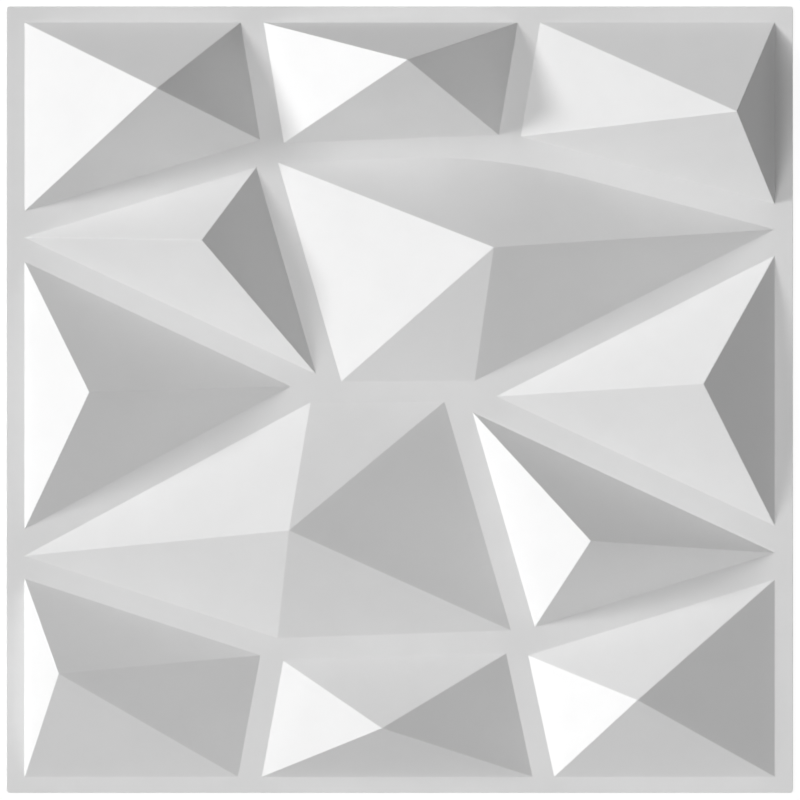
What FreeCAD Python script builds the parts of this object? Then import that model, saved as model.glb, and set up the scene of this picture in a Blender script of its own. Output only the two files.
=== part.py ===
"""Square wall panel: one thin plastic sheet, formed into twelve low pyramids with flat channels between them.

The panel lies on its back, with its middle at the origin, the back on z = 0 and the relief facing +Z.
Seen from the front, +X is right and +Y is up.
"""
import FreeCAD, Part
import math
import os

import Sketcher

# Sheet, in millimetres
SIZES = {
    "panel_side": 500.0,
    "corner_radius": 2.0,
    "sheet_thickness": 1.0,
    # Flat rim around the relief: left and right, then top and bottom
    "side_flange": 11.5,
    "end_flange": 10.2,
}

# Lines that a channel starts from or a pyramid ends at: the coordinate that is fixed, and on which side
# of the panel's middle. The last two are the panel's own middle lines.
LINES = {
    "top": ("y", 1),
    "bottom": ("y", -1),
    "left": ("x", -1),
    "right": ("x", 1),
    "level_middle": ("y", 0),
    "upright_middle": ("x", 0),
}
FLANGES = {"x": "side_flange", "y": "end_flange"}

# Channels, the flat strips between neighbouring pyramids: the line that the centre line starts from, how
# far along it from the panel's middle, the centre line's slant from +X in degrees, and the strip's width.
# Those of one border are lettered from the left or from the top.
CHANNELS = {
    "top_a": ("top", -93.8, -80.5, 14.6),
    "top_b": ("top", 82.2, 80.3, 14.0),
    "bottom_a": ("bottom", -95.3, 79.5, 15.0),
    "bottom_b": ("bottom", 91.4, -77.9, 13.5),
    "left_a": ("left", 111.6, 16.8, 16.0),
    "left_b": ("left", 95.4, -25.1, 14.0),
    "left_c": ("left", -90.7, 28.2, 15.0),
    "left_d": ("left", -106.6, -18.0, 13.8),
    "right_a": ("right", 116.3, -14.9, 15.6),
    "right_b": ("right", 100.0, 26.8, 15.0),
    "right_c": ("right", -88.7, -24.9, 15.6),
    "right_d": ("right", -105.9, 17.1, 16.2),
    "upper": ("upright_middle", 159.9, 2.1, 12.3),
    "central": ("upright_middle", 5.2, 0.3, 13.2),
    "lower": ("upright_middle", -156.3, 1.9, 14.5),
    "left_steep": ("level_middle", -41.2, -73.9, 14.2),
    "right_steep": ("level_middle", 36.1, -73.8, 15.4),
}

# Pyramids: the sides of the foot in order round it, the corner, border or middle of the relief that the
# apex is measured from (-1 left or bottom, 1 right or top), and the apex: across, up, and rise.
PYRAMIDS = {
    "top_left": (("top", "top_a", "left_a", "left"), (-1, 1), (84.6, -42.3, 42.0)),
    "top_middle": (("top", "top_b", "upper", "top_a"), (0, 1), (5.0, -24.3, 46.0)),
    "top_right": (("top", "right", "right_a", "top_b"), (1, 1), (-24.7, -57.0, 43.0)),
    "upper_left": (("left_a", "left_steep", "left_b"), (-1, 0), (112.9, 101.3, 31.0)),
    "upper_middle": (("upper", "right_a", "right_b", "central", "left_steep"), (0, 0), (59.8, 96.7, 39.0)),
    "middle_left": (("left_b", "left_c", "left"), (-1, 0), (41.5, 4.7, 35.0)),
    "middle_right": (("right", "right_c", "right_b"), (1, 0), (-45.7, 10.0, 29.0)),
    "lower_middle": (("left_c", "central", "right_steep", "lower", "left_d"), (0, 0), (-70.2, -82.9, 33.0)),
    "lower_right": (("right_c", "right_d", "right_steep"), (1, 0), (-117.3, -89.6, 36.0)),
    "bottom_left": (("left_d", "bottom_a", "bottom", "left"), (-1, -1), (22.0, 66.0, 31.0)),
    "bottom_middle": (("lower", "bottom_b", "bottom", "bottom_a"), (0, -1), (-11.3, 31.3, 30.0)),
    "bottom_right": (("right_d", "right", "bottom", "bottom_b"), (1, -1), (-87.6, 49.2, 31.0)),
}

# Feet with one corner rounded broadly, so that the two facets above it run together: the two sides that
# meet in that corner, and the radius.
ROUNDED_FEET = {"upper_middle": ("upper", "right_a", 400.0)}

doc = FreeCAD.newDocument("wall_panel")
sheet = doc.addObject("Spreadsheet::Sheet", "Sizes")
body = doc.addObject("PartDesign::Body", "wall_panel")


def fill_sheet():
    """Gives every driving dimension a row of its own: its name, and its value under that name as alias."""
    rows = dict(SIZES)
    for name, (start, *numbers) in CHANNELS.items():
        rows[f"{name}_foot"], rows[f"{name}_slant"], rows[f"{name}_width"] = numbers
    for name, (sides, anchor, apex) in PYRAMIDS.items():
        rows[f"{name}_apex_x"], rows[f"{name}_apex_y"], rows[f"{name}_rise"] = apex
    for name, (*pair, radius) in ROUNDED_FEET.items():
        rows[f"{name}_foot_radius"] = radius
    for row, (alias, number) in enumerate(rows.items(), start=1):
        sheet.set(f"A{row}", alias)
        sheet.set(f"B{row}", str(number))
        sheet.setAlias(f"B{row}", alias)


def attached_sketch(name, level):
    """An empty sketch of the body, parallel to the back and above it by the expression in level."""
    ground = [plane for plane in body.Origin.OriginFeatures if plane.Role == "XY_Plane"][0]
    sketch = body.newObject("Sketcher::SketchObject", name)
    sketch.AttachmentSupport = [(ground, "")]
    sketch.MapMode = "FlatFace"
    sketch.setExpression("AttachmentOffset.Base.z", level)
    return sketch


def bind(sketch, constraint, expression):
    """Adds a constraint whose value the spreadsheet drives."""
    index = sketch.addConstraint(constraint)
    sketch.setExpression(f"Constraints[{index}]", expression)


def place_point(sketch, element, numbers, expressions):
    """Holds an element's first point at a place measured from the panel's middle."""
    bind(sketch, Sketcher.Constraint("DistanceX", -1, 1, element, 1, numbers[0]), expressions[0])
    bind(sketch, Sketcher.Constraint("DistanceY", -1, 1, element, 1, numbers[1]), expressions[1])


def relief_edge(axis, sign):
    """How far a border of the relief lies from the panel's middle, as a number and as an expression."""
    number = sign * (SIZES["panel_side"] / 2 - SIZES[FLANGES[axis]])
    return number, f"{sign} * (Sizes.panel_side / 2 - Sizes.{FLANGES[axis]})"


def channel_start(name):
    """Where a channel's centre line starts, as numbers and as expressions."""
    start, foot, slant, width = CHANNELS[name]
    axis, sign = LINES[start]
    number, expression = relief_edge(axis, sign)
    if axis == "y":
        return (foot, number), (f"Sizes.{name}_foot", expression)
    return (number, foot), (expression, f"Sizes.{name}_foot")


def apex_place(name):
    """Where a pyramid's apex stands in plan, as numbers and as expressions."""
    sides, (across, up), (apex_x, apex_y, rise) = PYRAMIDS[name]
    edge_x, text_x = relief_edge("x", across)
    edge_y, text_y = relief_edge("y", up)
    numbers = (edge_x + apex_x, edge_y + apex_y)
    return numbers, (f"{text_x} + Sizes.{name}_apex_x", f"{text_y} + Sizes.{name}_apex_y")


def side_line(side, apex):
    """A point and a direction of one side of a foot: a border, or the edge of a channel nearest the apex."""
    if side in LINES:
        axis, sign = LINES[side]
        number = relief_edge(axis, sign)[0]
        if axis == "y":
            return FreeCAD.Vector(0, number, 0), FreeCAD.Vector(1, 0, 0)
        return FreeCAD.Vector(number, 0, 0), FreeCAD.Vector(0, 1, 0)
    start = FreeCAD.Vector(*channel_start(side)[0], 0)
    slant, width = CHANNELS[side][2:]
    heading = math.radians(slant)
    along = FreeCAD.Vector(math.cos(heading), math.sin(heading), 0)
    across = FreeCAD.Vector(-along.y, along.x, 0)
    towards_apex = math.copysign(width / 2, across.dot(apex - start))
    return start + across * towards_apex, along


def crossing(first, second):
    """Where two lines cross, each given by a point and a direction."""
    (point, along), (other_point, other_along) = first, second
    distance = (other_point - point).cross(other_along).z / along.cross(other_along).z
    return point + along * distance


def hold_on_border(sketch, element, side):
    """Keeps one side of a foot on a border of the relief."""
    axis, sign = LINES[side]
    number, expression = relief_edge(axis, sign)
    if axis == "y":
        sketch.addConstraint(Sketcher.Constraint("Horizontal", element))
        bind(sketch, Sketcher.Constraint("DistanceY", -1, 1, element, 1, number), expression)
    else:
        sketch.addConstraint(Sketcher.Constraint("Vertical", element))
        bind(sketch, Sketcher.Constraint("DistanceX", -1, 1, element, 1, number), expression)


def hold_along_channel(sketch, element, side, heading):
    """Keeps one side of a foot parallel to a channel's centre line, half a channel from it."""
    slant, width = CHANNELS[side][2:]
    numbers, expressions = channel_start(side)
    start = sketch.addGeometry(Part.Point(FreeCAD.Vector(*numbers, 0)), True)
    place_point(sketch, start, numbers, expressions)
    bind(sketch, Sketcher.Constraint("Distance", start, 1, element, width / 2), f"Sizes.{side}_width / 2")
    turned = 0 if math.cos(heading - math.radians(slant)) > 0 else 180
    angle = Sketcher.Constraint("Angle", element, math.radians(slant + turned))
    bind(sketch, angle, f"Sizes.{side}_slant + {turned}")


def foot_sketch(name, level, label):
    """The outline that a pyramid stands on, at one face of the sheet."""
    sides = PYRAMIDS[name][0]
    apex = FreeCAD.Vector(*apex_place(name)[0], 0)
    lines = [side_line(side, apex) for side in sides]
    corners = [crossing(lines[index - 1], lines[index]) for index in range(len(sides))]
    following = corners[1:] + corners[:1]
    sketch = attached_sketch(label, level)
    for corner, next_corner in zip(corners, following):
        sketch.addGeometry(Part.LineSegment(corner, next_corner))
    for element in range(len(sides)):
        sketch.addConstraint(Sketcher.Constraint("Coincident", element, 2, (element + 1) % len(sides), 1))
    for element, side in enumerate(sides):
        if side in LINES:
            hold_on_border(sketch, element, side)
        else:
            run = following[element] - corners[element]
            hold_along_channel(sketch, element, side, math.atan2(run.y, run.x))
    if name in ROUNDED_FEET:
        round_corner(sketch, name)
    return sketch


def round_corner(sketch, name):
    """Replaces one corner of a foot by an arc that runs smoothly into both sides."""
    *pair, radius = ROUNDED_FEET[name]
    first, second = [PYRAMIDS[name][0].index(side) for side in pair]
    arc = sketch.GeometryCount
    sketch.fillet(first, second, sketch.getPoint(first, 1), sketch.getPoint(second, 2), radius, True)
    bind(sketch, Sketcher.Constraint("Radius", arc, radius), f"Sizes.{name}_foot_radius")


def apex_sketch(name, level, label):
    """The single point that a pyramid's facets meet in."""
    numbers, expressions = apex_place(name)
    sketch = attached_sketch(label, f"{level} + Sizes.{name}_rise")
    point = sketch.addGeometry(Part.Point(FreeCAD.Vector(*numbers, 0)))
    place_point(sketch, point, numbers, expressions)
    return sketch


def loft_pyramid(kind, name, level, label):
    """Adds or takes away one pyramid that stands at the given level."""
    foot = foot_sketch(name, level, f"{label}_foot")
    apex = apex_sketch(name, level, f"{label}_apex")
    loft = body.newObject(f"PartDesign::{kind}", label)
    loft.Profile = foot
    loft.Sections = [apex]
    loft.Ruled = True


def flat_sheet():
    """The square blank with its rounded corners."""
    half = SIZES["panel_side"] / 2
    quarters = ((-1, -1), (1, -1), (1, 1), (-1, 1))
    corners = [FreeCAD.Vector(half * across, half * up, 0) for across, up in quarters]
    sketch = attached_sketch("blank_outline", "0")
    for corner, next_corner in zip(corners, corners[1:] + corners[:1]):
        sketch.addGeometry(Part.LineSegment(corner, next_corner))
    for element in range(4):
        sketch.addConstraint(Sketcher.Constraint("Coincident", element, 2, (element + 1) % 4, 1))
        sketch.addConstraint(Sketcher.Constraint("Vertical" if element % 2 else "Horizontal", element))
    sketch.addConstraint(Sketcher.Constraint("Symmetric", 0, 1, 1, 2, -1, 1))
    bind(sketch, Sketcher.Constraint("DistanceX", 0, 1, 0, 2, 2 * half), "Sizes.panel_side")
    bind(sketch, Sketcher.Constraint("DistanceY", 1, 1, 1, 2, 2 * half), "Sizes.panel_side")
    blank = body.newObject("PartDesign::Pad", "blank")
    blank.Profile = sketch
    blank.setExpression("Length", "Sizes.sheet_thickness")
    doc.recompute()
    upright = [f"Edge{index}" for index, edge in enumerate(blank.Shape.Edges, start=1)
               if abs(edge.tangentAt(edge.FirstParameter).z) > 0.99]
    rounding = body.newObject("PartDesign::Fillet", "rounded_corners")
    rounding.Base = (blank, upright)
    rounding.setExpression("Radius", "Sizes.corner_radius")


def formed_relief():
    """The twelve pyramids, raised from the front of the sheet and then hollowed from its back."""
    for name in PYRAMIDS:
        loft_pyramid("AdditiveLoft", name, "Sizes.sheet_thickness", name)
    doc.recompute()
    filled = body.Shape.Volume
    for name in PYRAMIDS:
        loft_pyramid("SubtractiveLoft", name, "0", f"{name}_hollow")
    doc.recompute()
    if body.Shape.Volume >= filled:
        raise RuntimeError("the back of the relief was not hollowed")


def write_parts():
    """Checks every object of the document and writes the panel."""
    for item in doc.Objects:
        if {"Invalid", "Error"} & set(item.State):
            raise RuntimeError(f"{item.Label} failed: {item.State}")
    if body.Shape.isNull() or not body.Shape.isValid() or len(body.Shape.Solids) != 1:
        raise RuntimeError("the panel is not one valid solid")
    os.makedirs("parts", exist_ok=True)
    body.Shape.exportStep(f"parts/{body.Label}.step")


fill_sheet()
doc.recompute()
flat_sheet()
formed_relief()
write_parts()
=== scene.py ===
import math

import bmesh
import bpy
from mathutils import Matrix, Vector


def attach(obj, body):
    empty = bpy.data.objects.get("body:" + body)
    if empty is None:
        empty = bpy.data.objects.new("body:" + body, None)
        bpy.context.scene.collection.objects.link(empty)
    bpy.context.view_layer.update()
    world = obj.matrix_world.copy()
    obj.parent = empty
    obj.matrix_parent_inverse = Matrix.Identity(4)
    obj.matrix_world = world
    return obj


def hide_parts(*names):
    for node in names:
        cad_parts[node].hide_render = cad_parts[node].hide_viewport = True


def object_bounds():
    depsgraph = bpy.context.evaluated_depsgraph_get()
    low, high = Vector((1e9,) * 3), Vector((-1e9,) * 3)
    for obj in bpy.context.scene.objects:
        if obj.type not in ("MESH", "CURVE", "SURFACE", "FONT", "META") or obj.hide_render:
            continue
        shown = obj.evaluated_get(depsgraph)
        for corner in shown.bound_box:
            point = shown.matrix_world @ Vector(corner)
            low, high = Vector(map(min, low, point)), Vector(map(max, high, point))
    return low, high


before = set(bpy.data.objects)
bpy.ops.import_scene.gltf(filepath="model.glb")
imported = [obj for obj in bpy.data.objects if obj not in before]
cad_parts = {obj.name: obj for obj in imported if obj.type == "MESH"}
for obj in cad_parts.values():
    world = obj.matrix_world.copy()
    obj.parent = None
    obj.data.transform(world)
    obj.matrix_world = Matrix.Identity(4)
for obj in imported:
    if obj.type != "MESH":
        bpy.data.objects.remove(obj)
cad_low, cad_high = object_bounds()
scene = bpy.context.scene

# Rounding of the creases between facets and of the cut rim: metres and radians
CREASE_OFFSET = 0.00045
RIM_OFFSET = 0.0003
ROUNDING_STEPS = 3
ROUND_PROFILE = 0.5
LARGE_FACE_WEIGHT = 100
CREASE_ANGLE = math.radians(3)
RIM_ANGLE = math.radians(80)

# Limits that tell the faces and edges of the sheet apart: metres, radians, shares and counts
WELD_REACH = 1e-6
FLAT_ANGLE = math.radians(0.3)
UPRIGHT_SHARE = 0.999
FACET_CLIMB = 0.2 * (cad_high.z - cad_low.z)
MOST_FLAT_CORNERS = 8

# White PVC: scales are repeats to the metre, and the depth of the grain is in metres
MOTTLE_SCALE = 38.0
MOTTLE_DETAIL = 3.0
MOTTLE_ROUGHNESS = 0.55
DARKEST_TONE = 0.925
LIGHTEST_TONE = 0.945
SHEEN_SCALE = 160.0
GLOSSIEST_ROUGHNESS = 0.34
DULLEST_ROUGHNESS = 0.4
GRAIN_SCALE = 1400.0
GRAIN_STRENGTH = 0.12
GRAIN_DEPTH = 0.00006
NOISE_LOW = 0.3
NOISE_HIGH = 0.7

# The photo's frame in pixels, the lens in millimetres and other lengths in metres
PHOTO_PIXELS = 800
PANEL_PIXELS = 786.2
LENS = 1000.0
OFF_CENTRE = 0.0002
LAMP_DISTANCE = 3.0


def add_object(name, data):
    """A new object in the scene."""
    made = bpy.data.objects.new(name, data)
    scene.collection.objects.link(made)
    return made


def upright(edge):
    """True for the short edges down the sheet's cut side."""
    low, high = edge.verts
    return abs((high.co - low.co).normalized().z) > UPRIGHT_SHARE


def creases(bm, at_least, below):
    """Edges whose two faces turn by an angle between the two limits."""
    return [e for e in bm.edges if not upright(e) and at_least <= e.calc_face_angle() < below]


def round_over(bm, edges, offset):
    """Rounds edges in a few even steps."""
    bmesh.ops.bevel(
        bm, geom=edges, offset=offset, offset_type="OFFSET", segments=ROUNDING_STEPS,
        profile=ROUND_PROFILE, affect="EDGES",
    )


def slants(face):
    """True for the faces that climb towards a peak, unlike the rim and the channels."""
    levels = [v.co.z for v in face.verts]
    return max(levels) - min(levels) > FACET_CLIMB


def strips_around(face):
    """A face with all the faces that run on from it without a crease."""
    strips = [face]
    for strip in strips:
        for edge in strip.edges:
            if edge.calc_face_angle() < CREASE_ANGLE:
                strips += [f for f in edge.link_faces if f not in strips]
    return strips


def join_strips(bm):
    """Joins the strips of each rounded facet, so that its creases round over cleanly."""
    facets = []
    done = set()
    for face in bm.faces:
        if slants(face) and face not in done:
            facets.append(strips_around(face))
            done.update(facets[-1])
    for facet in facets:
        if len(facet) > 1:
            bmesh.ops.dissolve_faces(bm, faces=facet)


def fan_out(bm):
    """Lays narrow strips up to the peak over each rounded facet, which is not flat."""
    for face in list(bm.faces):
        if len(face.verts) <= MOST_FLAT_CORNERS or not slants(face):
            continue
        ring = list(face.verts)
        peak = max(ring, key=lambda v: v.co.z)
        start = ring.index(peak)
        foot = ring[start + 1:] + ring[:start]
        bm.faces.remove(face)
        for first, second in zip(foot, foot[1:]):
            bm.faces.new((peak, first, second))


def formed_sheet(node):
    """The sheet as it leaves the mould: the CAD shape with rounded creases and rim."""
    bm = bmesh.new()
    bm.from_mesh(node.data)
    bmesh.ops.remove_doubles(bm, verts=bm.verts, dist=WELD_REACH)
    bmesh.ops.dissolve_limit(bm, angle_limit=FLAT_ANGLE, verts=bm.verts, edges=bm.edges)
    join_strips(bm)
    round_over(bm, creases(bm, CREASE_ANGLE, RIM_ANGLE), CREASE_OFFSET)
    round_over(bm, creases(bm, RIM_ANGLE, math.pi), RIM_OFFSET)
    fan_out(bm)
    bmesh.ops.recalc_face_normals(bm, faces=bm.faces)
    for face in bm.faces:
        face.smooth = True
    mesh = bpy.data.meshes.new("panel_sheet")
    bm.to_mesh(mesh)
    bm.free()
    sheet = add_object("panel_sheet", mesh)
    flats = sheet.modifiers.new("flat_facets", "WEIGHTED_NORMAL")
    flats.weight = LARGE_FACE_WEIGHT
    return sheet


def add_node(tree, kind, **inputs):
    """A shader node with the named inputs set."""
    node = tree.nodes.new(kind)
    for name, value in inputs.items():
        node.inputs[name.replace("_", " ")].default_value = value
    return node


def noise(tree, **inputs):
    """A noise that keeps its place on the object."""
    place = tree.nodes.new("ShaderNodeTexCoord")
    node = add_node(tree, "ShaderNodeTexNoise", **inputs)
    tree.links.new(place.outputs["Object"], node.inputs["Vector"])
    return node.outputs["Fac"]


def grey(level):
    """A colour without a tint."""
    return (level, level, level, 1.0)


def white_pvc():
    """Satin white PVC: a faint mottle, an uneven sheen and a fine moulded grain."""
    material = bpy.data.materials.new("white_pvc")
    material.use_nodes = True
    tree = material.node_tree
    shader = tree.nodes["Principled BSDF"]

    mottle = noise(tree, Scale=MOTTLE_SCALE, Detail=MOTTLE_DETAIL, Roughness=MOTTLE_ROUGHNESS)
    tone = tree.nodes.new("ShaderNodeValToRGB")
    darkest, lightest = tone.color_ramp.elements
    darkest.position = NOISE_LOW
    darkest.color = grey(DARKEST_TONE)
    lightest.position = NOISE_HIGH
    lightest.color = grey(LIGHTEST_TONE)
    tree.links.new(mottle, tone.inputs["Fac"])
    tree.links.new(tone.outputs["Color"], shader.inputs["Base Color"])

    sheen = noise(tree, Scale=SHEEN_SCALE)
    gloss = add_node(
        tree, "ShaderNodeMapRange",
        From_Min=NOISE_LOW, From_Max=NOISE_HIGH,
        To_Min=GLOSSIEST_ROUGHNESS, To_Max=DULLEST_ROUGHNESS,
    )
    tree.links.new(sheen, gloss.inputs["Value"])
    tree.links.new(gloss.outputs["Result"], shader.inputs["Roughness"])

    grain = noise(tree, Scale=GRAIN_SCALE)
    relief = add_node(tree, "ShaderNodeBump", Strength=GRAIN_STRENGTH, Distance=GRAIN_DEPTH)
    tree.links.new(grain, relief.inputs["Height"])
    tree.links.new(relief.outputs["Normal"], shader.inputs["Normal"])
    return material


def either(tree, first, second):
    """1 where one of two outputs is 1."""
    node = tree.nodes.new("ShaderNodeMath")
    node.operation = "MAXIMUM"
    tree.links.new(first, node.inputs[0])
    tree.links.new(second, node.inputs[1])
    return node.outputs[0]


def seen_directly(tree):
    """1 for the rays that show a background: camera, glossy and transmission rays."""
    rays = tree.nodes.new("ShaderNodeLightPath").outputs
    seen = either(tree, rays["Is Camera Ray"], rays["Is Glossy Ray"])
    return either(tree, seen, rays["Is Transmission Ray"])


def pale_floor(half_side, drop, tone, white):
    """A plain floor just under the back face, white to the camera apart from the soft shadow."""
    low, high = -half_side, half_side
    corners = [(low, low), (high, low), (high, high), (low, high)]
    mesh = bpy.data.meshes.new("floor")
    mesh.from_pydata([(x, y, -drop) for x, y in corners], [], [(0, 1, 2, 3)])
    floor = add_object("floor", mesh)
    material = bpy.data.materials.new("pale_floor")
    material.use_nodes = True
    tree = material.node_tree
    tree.nodes.clear()
    lit = add_node(tree, "ShaderNodeBsdfDiffuse", Color=grey(tone))
    glow = add_node(tree, "ShaderNodeEmission", Color=grey(white))
    both = tree.nodes.new("ShaderNodeAddShader")
    out = tree.nodes.new("ShaderNodeOutputMaterial")
    tree.links.new(seen_directly(tree), glow.inputs["Strength"])
    tree.links.new(lit.outputs[0], both.inputs[0])
    tree.links.new(glow.outputs[0], both.inputs[1])
    tree.links.new(both.outputs[0], out.inputs["Surface"])
    mesh.materials.append(material)


def studio_world(fill):
    """A white surround for the eye, and a faint even fill for the lighting."""
    world = bpy.data.worlds.new("studio")
    scene.world = world
    world.use_nodes = True
    tree = world.node_tree
    tree.nodes.clear()
    soft = add_node(tree, "ShaderNodeBackground", Color=grey(1.0), Strength=fill)
    white = add_node(tree, "ShaderNodeBackground", Color=grey(1.0), Strength=1.0)
    blend = tree.nodes.new("ShaderNodeMixShader")
    out = tree.nodes.new("ShaderNodeOutputWorld")
    tree.links.new(seen_directly(tree), blend.inputs[0])
    tree.links.new(soft.outputs[0], blend.inputs[1])
    tree.links.new(white.outputs[0], blend.inputs[2])
    tree.links.new(blend.outputs[0], out.inputs["Surface"])


def soft_sun(name, azimuth, elevation, spread, level):
    """A wide, distant lamp, with its angles in degrees.

    Azimuth turns from +X towards +Y, and level 1 lights a white that faces the lamp to 1.
    """
    lamp = bpy.data.lights.new(name, "SUN")
    lamp.energy = math.pi * level
    lamp.angle = math.radians(spread)
    turn, rise = math.radians(azimuth), math.radians(elevation)
    across = math.cos(rise)
    towards = Vector((math.cos(turn) * across, math.sin(turn) * across, math.sin(rise)))
    holder = add_object(name, lamp)
    holder.rotation_mode = "QUATERNION"
    holder.rotation_quaternion = towards.to_track_quat("Z", "Y")
    holder.location = towards * LAMP_DISTANCE


def front_camera():
    """A long lens straight over the panel, so that the relief shows no parallax."""
    data = bpy.data.cameras.new("front")
    data.lens = LENS
    view_width = (cad_high.x - cad_low.x) * PHOTO_PIXELS / PANEL_PIXELS
    distance = view_width * data.lens / data.sensor_width
    data.clip_end = distance * 2
    camera = add_object("front", data)
    camera.location = (OFF_CENTRE, -OFF_CENTRE, distance)
    scene.camera = camera


scene.view_settings.view_transform = "Standard"

sheet = formed_sheet(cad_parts["wall_panel"])
sheet.data.materials.append(white_pvc())
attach(sheet, "root")
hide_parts("wall_panel")

pale_floor(half_side=20.0, drop=0.0002, tone=0.2, white=0.9)
studio_world(fill=0.01)
soft_sun("key_upper_left", azimuth=160, elevation=21, spread=10, level=0.55)
soft_sun("key_lower_left", azimuth=205, elevation=45, spread=20, level=0.285)
soft_sun("key_left", azimuth=190, elevation=38, spread=14, level=0.12)
soft_sun("key_corner", azimuth=118, elevation=32, spread=14, level=0.085)
soft_sun("fill_right", azimuth=335, elevation=12, spread=22, level=0.13)
soft_sun("fill_above", azimuth=300, elevation=71, spread=50, level=0.075)
soft_sun("fill_below", azimuth=270, elevation=14, spread=22, level=0.05)
front_camera()
